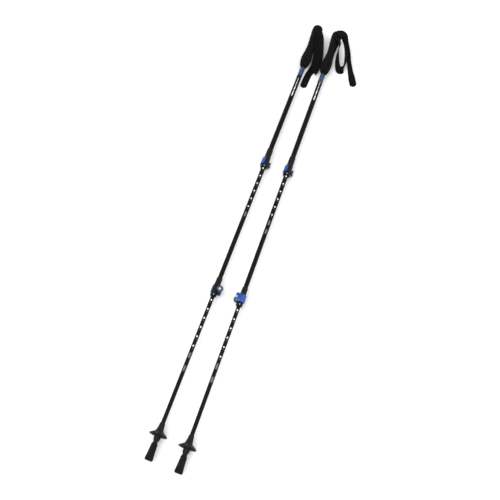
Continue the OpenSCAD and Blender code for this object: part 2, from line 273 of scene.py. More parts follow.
class Shader:
    """A material, and the nodes that drive its main shader."""

    def __init__(self, name, colour, roughness, **constants):
        self.material = bpy.data.materials.new(name)
        self.material.use_nodes = True
        self.tree = self.material.node_tree
        self.main = self.tree.nodes["Principled BSDF"]
        self.main.inputs["Base Color"].default_value = (*colour, 1)
        self.main.inputs["Roughness"].default_value = roughness
        for key, value in constants.items():
            self.main.inputs[key.replace("_", " ")].default_value = value
        self.material.diffuse_color = (*colour, 1)

    def node(self, kind, settings=(), **inputs):
        """A node with its settings, and its inputs linked or set. An input's key is its name."""
        made = self.tree.nodes.new(kind)
        for key, value in dict(settings).items():
            setattr(made, key, value)
        for key, value in inputs.items():
            index = int(key[1:]) if key[0] == "i" and key[1:].isdigit() else key.replace("_", " ")
            self.put(made.inputs[index], value)
        return made

    def put(self, socket, value):
        if isinstance(value, bpy.types.NodeSocket):
            self.tree.links.new(value, socket)
        else:
            socket.default_value = value

    def place(self, stretch=(1, 1, 1), turn=(0, 0, 0)):
        """The point on the piece at rest, in metres, stretched and turned."""
        coordinates = self.node("ShaderNodeTexCoord").outputs["Object"]
        return self.node("ShaderNodeMapping", Vector=coordinates, Scale=stretch,
                         Rotation=turn).outputs[0]

    def noise(self, where, scale, detail=3.0, roughness=0.5):
        return self.node("ShaderNodeTexNoise", Vector=where, Scale=scale, Detail=detail,
                         Roughness=roughness).outputs[0]

    def cells(self, where, scale, feature="F1"):
        return self.node("ShaderNodeTexVoronoi", {"feature": feature}, Vector=where,
                         Scale=scale).outputs["Distance"]

    def maths(self, operation, a, b=0.0, c=0.0):
        return self.node("ShaderNodeMath", {"operation": operation}, i0=a, i1=b, i2=c).outputs[0]

    def between(self, value, low, high, to_low=0.0, to_high=1.0):
        """The value's share of the way from low to high, as a share from to_low to to_high."""
        return self.node("ShaderNodeMapRange", i0=value, i1=low, i2=high, i3=to_low,
                         i4=to_high).outputs[0]

    def mixed(self, share, first, second):
        """A colour between two colours."""
        made = self.tree.nodes.new("ShaderNodeMix")
        made.data_type = "RGBA"
        self.put(made.inputs[0], share)
        for socket, colour in ((made.inputs[6], first), (made.inputs[7], second)):
            self.put(socket, colour if isinstance(colour, bpy.types.NodeSocket) else (*colour, 1))
        return made.outputs[2]

    def colour(self, socket):
        self.put(self.main.inputs["Base Color"], socket)

    def roughness(self, socket):
        self.put(self.main.inputs["Roughness"], socket)

    def relief(self, height, depth, strength=1.0):
        """Bumps of a real depth in metres."""
        bump = self.node("ShaderNodeBump", Strength=strength, Distance=depth, Height=height)
        self.put(self.main.inputs["Normal"], bump.outputs[0])


def painted_tube():
    """Black anodised and painted tube, with a faint drawn grain and hairline scuffs along it."""
    shader = Shader("black_tube", (0.005, 0.005, 0.0055), 0.3, Specular_IOR_Level=0.08)
    grain = shader.noise(shader.place((900, 25, 900)), 1.0, 4)
    scuffs = shader.noise(shader.place((2600, 14, 2600)), 1.0, 2)
    marks = shader.between(scuffs, 0.66, 0.78)
    tone = shader.mixed(grain, (0.002, 0.002, 0.0023), (0.005, 0.005, 0.0055))
    shader.colour(shader.mixed(marks, tone, (0.02, 0.02, 0.021)))
    shader.roughness(shader.between(grain, 0.2, 0.8, 0.28, 0.42))
    shader.relief(grain, 0.00002, 0.4)
    return shader.material


def grip_foam():
    """Closed-cell foam: fine open cells with painted shade in their pits, matte, a little rubbed on its crests."""
    shader = Shader("grip_foam", (0.012, 0.012, 0.012), 0.92, Specular_IOR_Level=0.03,
                    Sheen_Weight=0.01, Sheen_Roughness=0.6)
    cells = shader.cells(shader.place(), 2600)
    patches = shader.noise(shader.place(), 160, 3)
    tone = shader.mixed(patches, (0.003, 0.003, 0.003), (0.009, 0.009, 0.0088))
    # painted shade: each cell's pit is coloured darker than the foam around it
    shader.colour(shader.mixed(shader.between(cells, 0.0, 0.35), (0.0015, 0.0015, 0.0015), tone))
    shader.roughness(shader.between(patches, 0.3, 0.7, 0.84, 0.97))
    shader.relief(cells, 0.00018, 0.7)
    return shader.material


def grip_rubber():
    """Moulded head: finely blasted, with a dull polish where the palm rests."""
    shader = Shader("grip_rubber", (0.012, 0.012, 0.0125), 0.62, Specular_IOR_Level=0.07)
    blasted = shader.noise(shader.place(), 3200, 2)
    palm = shader.noise(shader.place(), 45, 2)
    shader.colour(shader.mixed(palm, (0.003, 0.003, 0.0032), (0.008, 0.0078, 0.0076)))
    shader.roughness(shader.between(palm, 0.3, 0.7, 0.5, 0.72))
    shader.relief(blasted, 0.00006, 0.5)
    return shader.material


def moulded_plastic(name, dark, light, roughness):
    """Glass-filled plastic with a spark-eroded skin."""
    shader = Shader(name, light, roughness, Specular_IOR_Level=0.12)
    skin = shader.noise(shader.place(), 2400, 3, 0.6)
    flow = shader.noise(shader.place((1, 0.4, 1)), 120, 3)
    shader.colour(shader.mixed(flow, dark, light))
    shader.roughness(shader.between(flow, 0.3, 0.7, roughness - 0.08, roughness + 0.08))
    shader.relief(skin, 0.00005, 0.5)
    return shader.material


def gloss_plastic(name, dark, light, roughness=0.22):
    """Coloured gloss plastic with faint moulding flow and rubbed edges."""
    shader = Shader(name, light, roughness, Coat_Weight=0.15, Coat_Roughness=0.12,
                    Specular_IOR_Level=0.35)
    flow = shader.noise(shader.place((1, 0.5, 1)), 90, 3)
    ripple = shader.noise(shader.place(), 700, 2)
    shader.colour(shader.mixed(flow, dark, light))
    shader.roughness(shader.between(ripple, 0.3, 0.7, roughness - 0.05, roughness + 0.08))
    shader.relief(ripple, 0.00003, 0.4)
    return shader.material


def blue_band():
    """Printed band: deep blue with a lighter pattern of swirling contours."""
    shader = Shader("blue_band", (0.01, 0.07, 0.32), 0.28, Coat_Weight=0.3, Coat_Roughness=0.15)
    where = shader.place()
    drift = shader.noise(where, 70, 1.5)
    lines = shader.maths("PINGPONG", shader.maths("MULTIPLY", drift, 8.0), 0.5)
    share = shader.between(lines, 0.36, 0.47)
    fade = shader.noise(where, 30, 1)
    shader.colour(shader.mixed(share, shader.mixed(fade, (0.002, 0.007, 0.032), (0.003, 0.016, 0.085)),
                               (0.008, 0.06, 0.26)))
    shader.roughness(shader.between(drift, 0.3, 0.7, 0.22, 0.34))
    shader.relief(share, 0.00002, 0.4)
    return shader.material


def bright_metal(name, colour, roughness, grain=1400):
    """Turned metal with fine tool marks."""
    shader = Shader(name, colour, roughness, Metallic=1.0)
    marks = shader.noise(shader.place((1, 3, 1)), grain, 3)
    dark = tuple(0.72 * channel for channel in colour)
    shader.colour(shader.mixed(marks, dark, colour))
    shader.roughness(shader.between(marks, 0.3, 0.7, roughness * 0.8, roughness * 1.3))
    shader.relief(marks, 0.00002, 0.5)
    return shader.material


def tread_rubber():
    """Sooty black rubber, dusty in its low places."""
    shader = Shader("foot_rubber", (0.01, 0.009, 0.008), 0.7, Specular_IOR_Level=0.08)
    dust = shader.noise(shader.place(), 260, 4, 0.6)
    pores = shader.noise(shader.place(), 2600, 2)
    shader.colour(shader.mixed(shader.between(dust, 0.45, 0.75), (0.006, 0.0052, 0.0046),
                               (0.02, 0.017, 0.0145)))
    shader.roughness(shader.between(dust, 0.3, 0.7, 0.58, 0.8))
    shader.relief(pores, 0.00008, 0.6)
    return shader.material


def print_ink(name, colour):
    """Screen-printed ink with a few rubbed spots."""
    shader = Shader(name, colour, 0.5)
    rubbed = shader.noise(shader.place((700, 200, 700)), 1.0, 4, 0.7)
    dull = tuple(0.35 * channel for channel in colour)
    shader.colour(shader.mixed(shader.between(rubbed, 0.68, 0.8), colour, dull))
    shader.relief(rubbed, 0.00001, 0.4)
    return shader.material


WEAVE = "Weave"
YARN = 1.15


def webbing(name="webbing", low=(0.002, 0.002, 0.0021), high=(0.009, 0.009, 0.0092)):
    """Plain-woven nylon tape: yarns over and under each other, along and across the strap, with painted shade in
    the hollows between the yarns.
    """
    shader = Shader(name, high, 0.78, Specular_IOR_Level=0.03, Sheen_Weight=0.02,
                    Sheen_Roughness=0.45)
    flat = shader.node("ShaderNodeUVMap", {"uv_map": WEAVE}).outputs[0]
    steps = shader.node("ShaderNodeMapping", Vector=flat, Scale=(1 / YARN, 1 / YARN, 1),
                        Location=(0, 0, 0.5)).outputs[0]
    parts = shader.node("ShaderNodeSeparateXYZ", Vector=steps)
    over = shader.node("ShaderNodeTexChecker", Vector=steps, Scale=1.0).outputs["Fac"]
    ribs = []
    for axis in ("X", "Y"):
        wave = shader.maths("SINE", shader.maths("MULTIPLY", parts.outputs[axis], math.pi))
        ribs.append(shader.maths("ABSOLUTE", wave))
    swap = shader.maths("SUBTRACT", 1.0, over)
    height = shader.maths("ADD", shader.maths("MULTIPLY", ribs[0], over),
                          shader.maths("MULTIPLY", ribs[1], swap))
    fuzz = shader.noise(shader.place(), 900, 3)
    # painted shade: the colour follows the weave's height, darker in the hollows between the yarns
    tone = shader.maths("MULTIPLY", height, shader.between(fuzz, 0.2, 0.8, 0.6, 1.1))
    shader.colour(shader.mixed(tone, low, high))
    shader.roughness(shader.between(fuzz, 0.3, 0.7, 0.7, 0.88))
    shader.relief(height, 0.00025, 0.8)
    return shader.material


def sewing_thread():
    """Twisted black thread with a slight sheen."""
    shader = Shader("thread", (0.02, 0.02, 0.02), 0.6, Specular_IOR_Level=0.12)
    twist = shader.noise(shader.place(), 1800, 2)
    shader.colour(shader.mixed(twist, (0.008, 0.008, 0.008), (0.028, 0.028, 0.027)))
    shader.relief(twist, 0.00006, 0.5)
    return shader.material


MATERIALS = {
    "tube": painted_tube(),
    "foam": grip_foam(),
    "head": grip_rubber(),
    "collar": moulded_plastic("dark_plastic", (0.004, 0.004, 0.0045), (0.01, 0.01, 0.0105), 0.46),
    "basket": moulded_plastic("basket_plastic", (0.006, 0.0055, 0.005), (0.013, 0.012, 0.011), 0.5),
    "bush": moulded_plastic("bush_plastic", (0.42, 0.42, 0.4), (0.6, 0.6, 0.57), 0.5),
    "lever": gloss_plastic("blue_lever", (0.001, 0.034, 0.19), (0.002, 0.075, 0.34)),
    "nut": gloss_plastic("nut_plastic", (0.002, 0.009, 0.022), (0.004, 0.02, 0.045)),
    "nut_dish": gloss_plastic("nut_dish", (0.03, 0.07, 0.1), (0.07, 0.14, 0.19), 0.35),
    "band": blue_band(),
    "steel": bright_metal("steel", (0.74, 0.75, 0.77), 0.22),
    "carbide": bright_metal("carbide", (0.34, 0.34, 0.36), 0.38),
    "foot": tread_rubber(),
    "ink": print_ink("white_ink", (0.82, 0.82, 0.8)),
    "grey_ink": print_ink("grey_ink", (0.22, 0.22, 0.22)),
    "webbing": webbing(),
    "thread": sewing_thread(),
}

CAD_LOOKS = {
    "upper_shaft": "tube", "middle_shaft": "tube", "lower_shaft": "tube",
    "grip_trim_ring": "band", "strap_pin": "steel", "strap_wedge": "collar",
    "strap_anchor": "collar", "upper_lever_pin": "steel", "upper_tension_screw": "steel",
    "lower_lever_pin": "steel", "lower_tension_screw": "steel", "middle_guide_bush": "bush",
    "lower_guide_bush": "bush", "flex_tip": "collar", "carbide_tip": "carbide",
}


def dress_cad_nodes():
    """Gives every CAD node that stays its material."""
    for side in SIDES:
        for piece, look in CAD_LOOKS.items():
            mesh = frame["nodes"][f"{side}_{piece}"].data
            mesh.materials.clear()
            mesh.materials.append(MATERIALS[look])


# ---- grip ----

GRIP_Z, HEAD_Z, STRAP_PIN_Z, TOP_Z = 1190.0, 1300.0, 1331.0, 1349.9
SLOT_Z, SLOT_TOP, SLOT_HALF = 1327.0, 1338.4, 12.0
HEAD_R, BEAK_REACH = 15.4, 21.5


def foam_sleeve(side):
    """The foam sleeve: a flare for the heel of the hand, a waist, and slanting finger grooves."""
    top = HEAD_Z - 0.1
    outline = [(9.6, GRIP_Z), (10.9, 1192.5), (13.7, 1203), (15.2, 1214), (15.3, 1221),
               (14.6, 1232), (13.3, 1243), (12, 1257), (11.55, 1270), (12.1, 1286), (12.9, top)]
    curve = [(r, z) for r, z in smooth_curve(outline, 10)]
    inner = [(UPPER_R + FIT, top), (UPPER_R + FIT, GRIP_Z)]

    def grooved(angle, r, z):
        if r < 9.5:
            return r, z
        wave = 0.5 + 0.5 * math.cos(3 * angle + (z - 1206) * 0.42)
        depth = 0.75 * bump_up(z, 1207, 1291, 8) * wave ** 10
        return r - depth, z

    piece = solid(f"{side}_foam_sleeve", turned(inner + curve, 128, True, grooved), POLE[side], 50)
    return settle(piece, f"{side}_upper_section", "grip_foam", MATERIALS["foam"],
                  f"{side}_grip_foam")


def moulded_head(side):
    """The head: a domed cap with a beak over the fingers, and the strap's slot across its top."""
    low = HEAD_Z + 0.1
    outline = [(13.0, low), (13.6, 1303), (13.7, 1309), (14.5, 1319), (15.35, 1327),
               (HEAD_R, 1336), (14.9, 1342), (13.2, 1346.6), (9.6, 1349.2), (5, TOP_Z - 0.1),
               (0.6, TOP_Z)]
    curve = [(0.6, low), (12.7, low)] + [(r, z) for r, z in smooth_curve(outline, 9)]

    def beaked(angle, r, z):
        if r < 3:
            return r, z
        turn = (angle - math.pi) / 0.62
        height = bump_up(z, 1317, 1345, 15)
        share = min(1, max(0, (r - 3) / 9))
        r += (BEAK_REACH - HEAD_R) * math.exp(-turn * turn * 1.3) * height * share
        band = bump_up(z, 1303.6, 1305, 0.8) * 0.45
        return (r - band if r > 12 else r), z

    piece = solid(f"{side}_head", turned(curve, 128, False, beaked), POLE[side], 40)
    slot = solid("slot", box_shape((-SLOT_HALF, -30, SLOT_Z), (SLOT_HALF, 4, SLOT_TOP)),
                 POLE[side])
    shaft = solid("shaft", turned([(UPPER_R, 1290), (UPPER_R, 1325.2)], 64), POLE[side])
    pin = solid("pin", rod_shape(1.5, 29), POLE[side] @ Matrix.Translation((0, 0, STRAP_PIN_Z))
                @ Matrix.Rotation(math.pi / 2, 4, "Y"))
    cut(piece, [slot, shaft, pin], sharp=40)
    return settle(piece, f"{side}_upper_section", "grip_rubber", MATERIALS["head"],
                  f"{side}_grip_head")


# ---- straps ----
# A row of a strap is its middle (x, height above the axis, z) and the way its width runs.

STRAP_WIDTH, STRAP_THICK = 21.0, 1.5
STRAP_STEPS = 7     # points along a strap between two of its rows
ON_GROUND = 0.9 - BASKET_R  # height of a band that lies flat on the ground

LEFT_LOOP = [
    ((0, 14.2, 1333.4), (1, 0, 0)), ((0.3, 19, 1333.3), (1, 0, 0)),
    ((1.5, 22, 1329.5), (1, 0, 0)), ((6, 21.8, 1320), (1, -0.2, 0)),
    ((13, 19.3, 1310), (0.93, -0.36, 0)), ((22, 11.5, 1295), (0.87, -0.5, 0)),
    ((29.5, 3, 1270), (0.87, -0.5, 0)), ((34.5, -2, 1250), (0.9, -0.43, 0)),
    ((36.6, -6.2, 1232), (0.93, -0.37, 0)), ((36.6, -9.2, 1216), (0.95, -0.3, 0)),
    ((35.4, -12.4, 1203), (0.97, -0.2, -0.1)), ((33.4, -13.8, 1195), (0.97, 0, -0.22)),
    ((32.2, -15, 1192.6), (0.96, 0, -0.26)), ((31.2, -16.1, 1195), (0.98, 0, -0.18)),
    ((29, -15.6, 1203), (0.99, -0.1, -0.1)), ((28, -12, 1215), (0.92, -0.38, 0)),
    ((27, -5.3, 1232), (0.78, -0.62, 0)), ((23.4, 0.4, 1250), (0.72, -0.69, 0)),
    ((20.2, 4.8, 1270), (0.75, -0.66, 0)), ((17, 9.4, 1290), (0.8, -0.6, 0)),
    ((14.3, 13, 1306), (0.87, -0.5, 0)), ((7.5, 18, 1318), (0.97, -0.24, 0)),
    ((2, 19.8, 1326.5), (1, 0, 0)), ((0.3, 18.2, 1330.4), (1, 0, 0)),
    ((0, 14.2, 1331), (1, 0, 0)),
]
LEFT_TAIL = [
    ((0, 14.2, 1328.6), (1, 0, 0)), ((0.3, 16.2, 1328.2), (1, 0, 0)),
    ((1.5, 17.4, 1325.4), (1, -0.05, 0)), ((6.9, 15.5, 1318), (0.97, -0.24, 0)),
    ((12.8, 10.2, 1306), (0.87, -0.5, 0)), ((15.4, 7.2, 1290), (0.8, -0.6, 0)),
    ((18.2, 2.4, 1270), (0.75, -0.66, 0)), ((20.8, -2.6, 1250), (0.7, -0.71, 0)),
    ((24.5, -9, 1232), (0.75, -0.66, 0)), ((26.5, -15.8, 1215), (0.9, -0.36, 0)),
    ((24.5, -19.6, 1200), (0.99, -0.05, 0)), ((20, ON_GROUND, 1184), (1, 0, -0.1)),
    ((18.5, ON_GROUND, 1166), (1, 0, 0)), ((18, ON_GROUND, 1148), (1, 0, 0)),
    ((17.6, ON_GROUND, 1131), (1, 0, 0.2)),
]
RIGHT_LOOP = [
    ((0.5, 22.2, 1330.5), (0.25, 0, 0.97)), ((8, 22.8, 1332), (0.15, 0, 0.98)),
    ((16, 21.6, 1332.4), (0.1, 0.3, 0.95)), ((23, 16.8, 1330.2), (0.1, 0.7, 0.7)),
    ((28.3, 9.4, 1324), (0.2, 0.88, 0.42)), ((35.2, 2.8, 1311.4), (0.3, 0.93, 0.15)),
    ((43.4, -4, 1290), (0.4, 0.9, 0)),
    ((48, -8, 1270), (0.4, 0.9, 0)), ((49.5, -9.5, 1252), (0.35, 0.93, 0)),
    ((49.6, -10.6, 1238), (0.1, 0.85, 0.5)), ((45, -12.6, 1228), (0, 0.62, 0.78)),
    ((37.5, -12.6, 1228), (0.1, 0.65, 0.75)), ((30.5, -11, 1238), (0.35, 0.85, 0.4)),
    ((25, -8, 1253), (0.45, 0.88, 0.1)), ((20.5, -2, 1272), (0.3, 0.95, 0)),
    ((18.5, 5, 1292), (0, 1, 0)), ((15.6, 12.4, 1306), (-0.5, 0.85, 0)),
    ((9, 16.6, 1313.5), (-0.85, 0.5, 0)), ((3.4, 17.8, 1320), (-0.98, 0.15, 0)),
    ((0.5, 17.3, 1328.5), (-1, 0, 0)),
]
RIGHT_TAIL = [
    ((0.5, 19.8, 1330.5), (0.25, 0, 0.97)), ((8, 20.3, 1332), (0.15, 0, 0.98)),
    ((14.6, 18.4, 1333), (0.1, 0.3, 0.95)), ((21.2, 13.6, 1333), (0.1, 0.7, 0.7)),
    ((29.7, 8, 1327.5), (0.2, 0.88, 0.42)), ((38, 1.8, 1314), (0.3, 0.93, 0.15)),
    ((48.6, -4.2, 1292), (0.42, 0.9, 0)),
    ((55.6, -8.6, 1274), (0.47, 0.88, 0)), ((61.4, -10, 1256), (0.5, 0.86, 0)),
    ((73.9, -11.4, 1225), (0.66, 0.75, 0)), ((82, -14, 1209), (0.87, 0.5, 0.1)),
    ((89, -17.4, 1196), (0.97, 0.2, 0.15)), ((94, ON_GROUND + 0.3, 1186), (0.95, 0, 0.3)),
]


def strap_section(width, thick):
    """Outline of a strap's section: (across, up) with full edges and a thinner selvedge."""
    half = width / 2
    steps = [-1, -0.965, -0.9, -0.6, -0.3, 0, 0.3, 0.6, 0.9, 0.965, 1]
    lift = [0.3, 0.42, 0.5, 0.49, 0.5, 0.5, 0.5, 0.49, 0.5, 0.42, 0.3]
    top = [(step * half, share * thick) for step, share in zip(steps, lift)]
    return top + [(a, -b) for a, b in reversed(top)]


def strap_frames(rows, steps):
    """Middle, width and face direction, and the length run, at points along a strap."""
    middles = smooth_curve([(x, -up, z) for (x, up, z), _ in rows], steps)
    widths = smooth_curve([(x, -up, z) for _, (x, up, z) in rows], steps)
    last = len(middles) - 1
    run = 0
    found = []
    for i, (middle, width) in enumerate(zip(middles, widths)):
        along = (middles[min(i + 1, last)] - middles[max(i - 1, 0)]).normalized()
        wide = (width - along * width.dot(along)).normalized()
        if i:
            run += (middle - middles[i - 1]).length
        found.append((middle, wide, along.cross(wide), run))
    return found


def strap_band(name, side, rows, width, leaf=0):
    """A webbing strap along its rows, with its weave laid out in millimetres.

    leaf is the length over which a free end is cut round.
    """
    frames = strap_frames(rows, STRAP_STEPS)
    length = frames[-1][3]
    outline = strap_section(width, STRAP_THICK)
    points = []
    weave = []
    for middle, wide, face, run in frames:
        left = length - run
        share = 1
        if leaf and left < leaf:
            share = max(0.12, math.sqrt(max(0, 1 - ((leaf - left) / leaf) ** 2)))
        ripple = 0.22 * lattice_noise(middle * 0.06) * bump_up(run, 30, length, 20)
        cup = 0.25 * lattice_noise(middle * 0.03 + Vector((9, 0, 0)))
        for across, up in outline:
            bow = cup * (1 - (2 * across / width) ** 2)
            points.append(middle + wide * across * share + face * (up + ripple + bow))
            weave.append((across * share, run))
    size = len(outline)
    count = len(frames)
    _, faces = loft([points[i * size:(i + 1) * size] for i in range(count)])
    mesh = bpy.data.meshes.new(name)
    mesh.from_pydata([POLE[side] @ point for point in points], [], faces)
    flat = mesh.uv_layers.new(name=WEAVE)
    for loop in mesh.loops:
        flat.data[loop.index].uv = weave[loop.vertex_index]
    tidy_mesh(mesh, 60)
    made = bpy.data.objects.new(name, mesh)
    bpy.context.scene.collection.objects.link(made)
    return made


def stitch_rows(side, rows, start, width):
    """A bar tack: three rows of short raised threads across a strap, start along its run."""
    frames = strap_frames(rows, STRAP_STEPS)
    threads = []
    for k in range(9):
        across = (k - 4) * width * 0.09
        for step in (0, 1.6, 3.2):
            here = start + step + (0.35 if k % 2 else 0)
            middle, wide, face, run = min(frames, key=lambda item: abs(item[3] - here))
            along = wide.cross(face)
            centre = middle + wide * across + along * (here - run) + face * STRAP_THICK / 2
            rings = []
            for t in (-1, -0.5, 0.5, 1):
                lift = face * (0.16 * (1 - t * t) + 0.1)
                at = centre + along * t * 0.75 + lift
                rings.append([at + wide * 0.2 * math.cos(a) + face * 0.16 * math.sin(a)
                              for a in (0, 1.05, 2.1, 3.14, 4.2, 5.24)])
            threads.append(loft(rings))
    return solid(f"{side}_strap_stitches", joined(threads), POLE[side], 60)


def wrist_strap(side):
    """The loop and the tail of a wrist strap, which swing as one."""
    loop_rows, tail_rows = (LEFT_LOOP, LEFT_TAIL) if side == "left" else (RIGHT_LOOP, RIGHT_TAIL)
    pieces = (
        (f"{side}_strap_loop", loop_rows, STRAP_WIDTH, 0, "strap_webbing"),
        (f"{side}_strap_free_end", tail_rows, STRAP_WIDTH - 1, 9, "strap_tail"),
    )
    for name, rows, width, leaf, node in pieces:
        band = strap_band(name, side, rows, width, leaf)
        band.data.materials.append(MATERIALS["webbing"])
        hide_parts(f"{side}_{node}")
        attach(band, f"{side}_strap")
    tail_length = strap_frames(tail_rows, STRAP_STEPS)[-1][3]
    tacks = stitch_rows(side, tail_rows, tail_length - 20, STRAP_WIDTH)
    settle(tacks, f"{side}_strap", "webbing", MATERIALS["thread"])


# ---- locks ----

# Each lock: the radius of the tube it sits on, its bore round the inner tube, and its length.
LOCKS = {"upper": (UPPER_R, MIDDLE_R + SLIP, 62.0), "lower": (MIDDLE_R, LOWER_R + SLIP, 52.0)}
CLAMP_H, EAR_H, EAR_GAP, EAR_Y, EAR_X = 32.0, 18.0, 1.1, 6.0, 15.8
LEVER_H = 21.0


def slab(outline, low, high, edge):
    """An outline drawn up from low to high, with its edges rounded by edge."""
    rings = []
    for z, inset in ((low, 1), (low + edge * 0.3, 0.3), (low + edge, 0), (high - edge, 0),
                     (high - edge * 0.3, 0.3), (high, 1)):
        ring = []
        count = len(outline)
        for i, (a, b) in enumerate(outline):
            before, after = outline[i - 1], outline[(i + 1) % count]
            side_way = Vector((after[0] - before[0], after[1] - before[1])).normalized()
            ring.append((a - side_way.y * inset * edge, b + side_way.x * inset * edge, z))
        rings.append(ring)
    return loft(rings)


def lock_collar(side, which):
    """A split collar with two ears, ringed where it narrows towards the outer tube."""
    sleeve, grip, height = LOCKS[which]
    out = sleeve + 2.3
    place = lock_frame(side, which)
    shell = rounded([(grip, 0, 0), (out - 0.6, 0, 0.6), (out, 1.6, 0.8), (out, CLAMP_H + 2, 1.5),
                     (out - 0.9, CLAMP_H + 4, 1.5), (sleeve + 1.4, height - 4, 1),
                     (sleeve + 1.3, height - 1, 0.4), (sleeve + 0.8, height, 0.2),
                     (sleeve + FIT, height, 0), (sleeve + FIT, CLAMP_H, 0), (grip, CLAMP_H, 0)],
                    5, True)

    def ringed(angle, r, z):
        if r < sleeve + 0.6:
            return r, z
        return r - 0.35 * bump_up(z, height - 6.6, height - 5.6, 0.6), z

    fine = refined(shell + [shell[0]], 1.0)[:-1]
    collar = solid(f"{side}_{which}_collar", turned(fine, 96, True, ringed), place)
    low, high = EAR_Z - EAR_H / 2, EAR_Z + EAR_H / 2
    plate = rounded([(sleeve, low, 0), (EAR_X, low, 4), (EAR_X, high, 4), (sleeve, high, 0)], 8)
    ears = []
    for y0, y1 in ((EAR_GAP, EAR_Y), (-EAR_Y, -EAR_GAP)):
        shape, faces = slab(plate, y0, y1, 0.5)
        ears.append(solid("ear", ([(x, y, z) for x, z, y in shape], faces), place))
    cut(collar, ears, "UNION")
    gap = solid("gap", box_shape((4, -EAR_GAP, -1), (EAR_X + 3, EAR_GAP, CLAMP_H - 1)), place)
    hole = solid("hole", rod_shape(1.86, 30),
                 place @ Matrix.Translation((SCREW_X, 0, EAR_Z)) @ Matrix.Rotation(math.pi / 2, 4, "X"))
    cut(collar, [gap, hole])
    section = "upper_section" if which == "upper" else "middle_section"
    return settle(collar, f"{side}_{section}", "dark_plastic", MATERIALS["collar"],
                  f"{side}_{which}_clamp_collar")


def lever_outline(sleeve):
    """Section of a lever across the pole: its boss, a flat back and a thumb tab."""
    near = sleeve + 2.75
    far = PIN_Y + BOSS_R
    outline = []
    for k in range(15):
        angle = math.radians(-75 + 165 * k / 14)
        outline.append((SCREW_X + BOSS_R * math.cos(angle), PIN_Y + BOSS_R * math.sin(angle)))
    outline += [(9, far), (6, far), (3, far), (0.5, far)]
    for k in range(1, 31):
        share = k / 30
        angle = math.radians(90 + 80 * share)
        ribs = 0.28 * math.sin(share * 30) * bump_up(share, 0.45, 0.85, 0.1)
        thick = (far - near) * (1 - share) + 1.7 * share
        r = near + thick + ribs + 0.5 * max(0, share - 0.8) * 5 * share
        outline.append((r * math.cos(angle), r * math.sin(angle)))
    tip = math.radians(171.2)
    outline.append(((near + 1.1) * math.cos(tip), (near + 1.1) * math.sin(tip)))
    for k in range(21):
        angle = math.radians(170 - 82 * k / 20)
        outline.append((near * math.cos(angle), near * math.sin(angle)))
    outline += [(4, near - 0.9), (7, 6.9), (9.3, 6.85)]
    return outline


def lock_lever(side, which):
    """A cam lever around its pin, with a slot for the tension screw's eye."""
    sleeve = LOCKS[which][0]
    place = lock_frame(side, which)
    low = EAR_Z - LEVER_H / 2
    shape = slab(lever_outline(sleeve), low, low + LEVER_H, 0.7)
    lever = solid(f"{side}_{which}_lever", shape, place, 40)
    slot = solid("slot", box_shape((SCREW_X - BOSS_R - 0.1, 0, EAR_Z - 2.2), (40, 20, EAR_Z + 2.2)),
                 place)
    bore = solid("bore", rod_shape(1.36, 40), place @ Matrix.Translation((SCREW_X, PIN_Y, EAR_Z)))
    cut(lever, [slot, bore], sharp=40)
    return settle(lever, f"{side}_{which}_lever", "blue_lever", MATERIALS["lever"],
                  f"{side}_{which}_lock_lever")


def thumb_nut(side, which):
    """A fluted thumb nut with a dished face, lying across the pole on the tension screw."""
    place = (lock_frame(side, which) @ Matrix.Translation((SCREW_X, 0, EAR_Z))
             @ Matrix.Rotation(math.pi / 2, 4, "X"))
    section = rounded([(1.86, 6.1, 0), (4.4, 6.1, 0.3), (4.4, 9.1, 0.3), (NUT_R - 0.2, 9.1, 0.6),
                       (NUT_R, 13.2, 0.9), (NUT_R - 1.2, 13.7, 0.4), (6.5, 13.7, 0.3),
                       (5.9, 12.5, 0.5), (3.4, 12.3, 0.3), (3.2, 12.9, 0.2), (1.86, 12.9, 0)],
                      4, True)

    def fluted(angle, r, z):
        if r < 7.4:
            return r, z
        return r - 1.0 * (0.5 + 0.5 * math.cos(12 * angle)) ** 4, z

    fine = refined(section + [section[0]], 0.8)[:-1]
    nut = solid(f"{side}_{which}_nut", turned(fine, 192, True, fluted), place, 40)
    settle(nut, f"{side}_{which}_nut", "nut_plastic", [MATERIALS["nut"], MATERIALS["nut_dish"]],
           f"{side}_{which}_thumb_nut")
    to_nut = place.inverted()
    for face in nut.data.polygons:
        spot = to_nut @ face.center
        if math.hypot(spot.x, spot.y) < 6.35 and spot.z > 11.5:
            face.material_index = 1
    return nut


# ---- tip ----

RIM_Z, LOBES = 57.4, 8


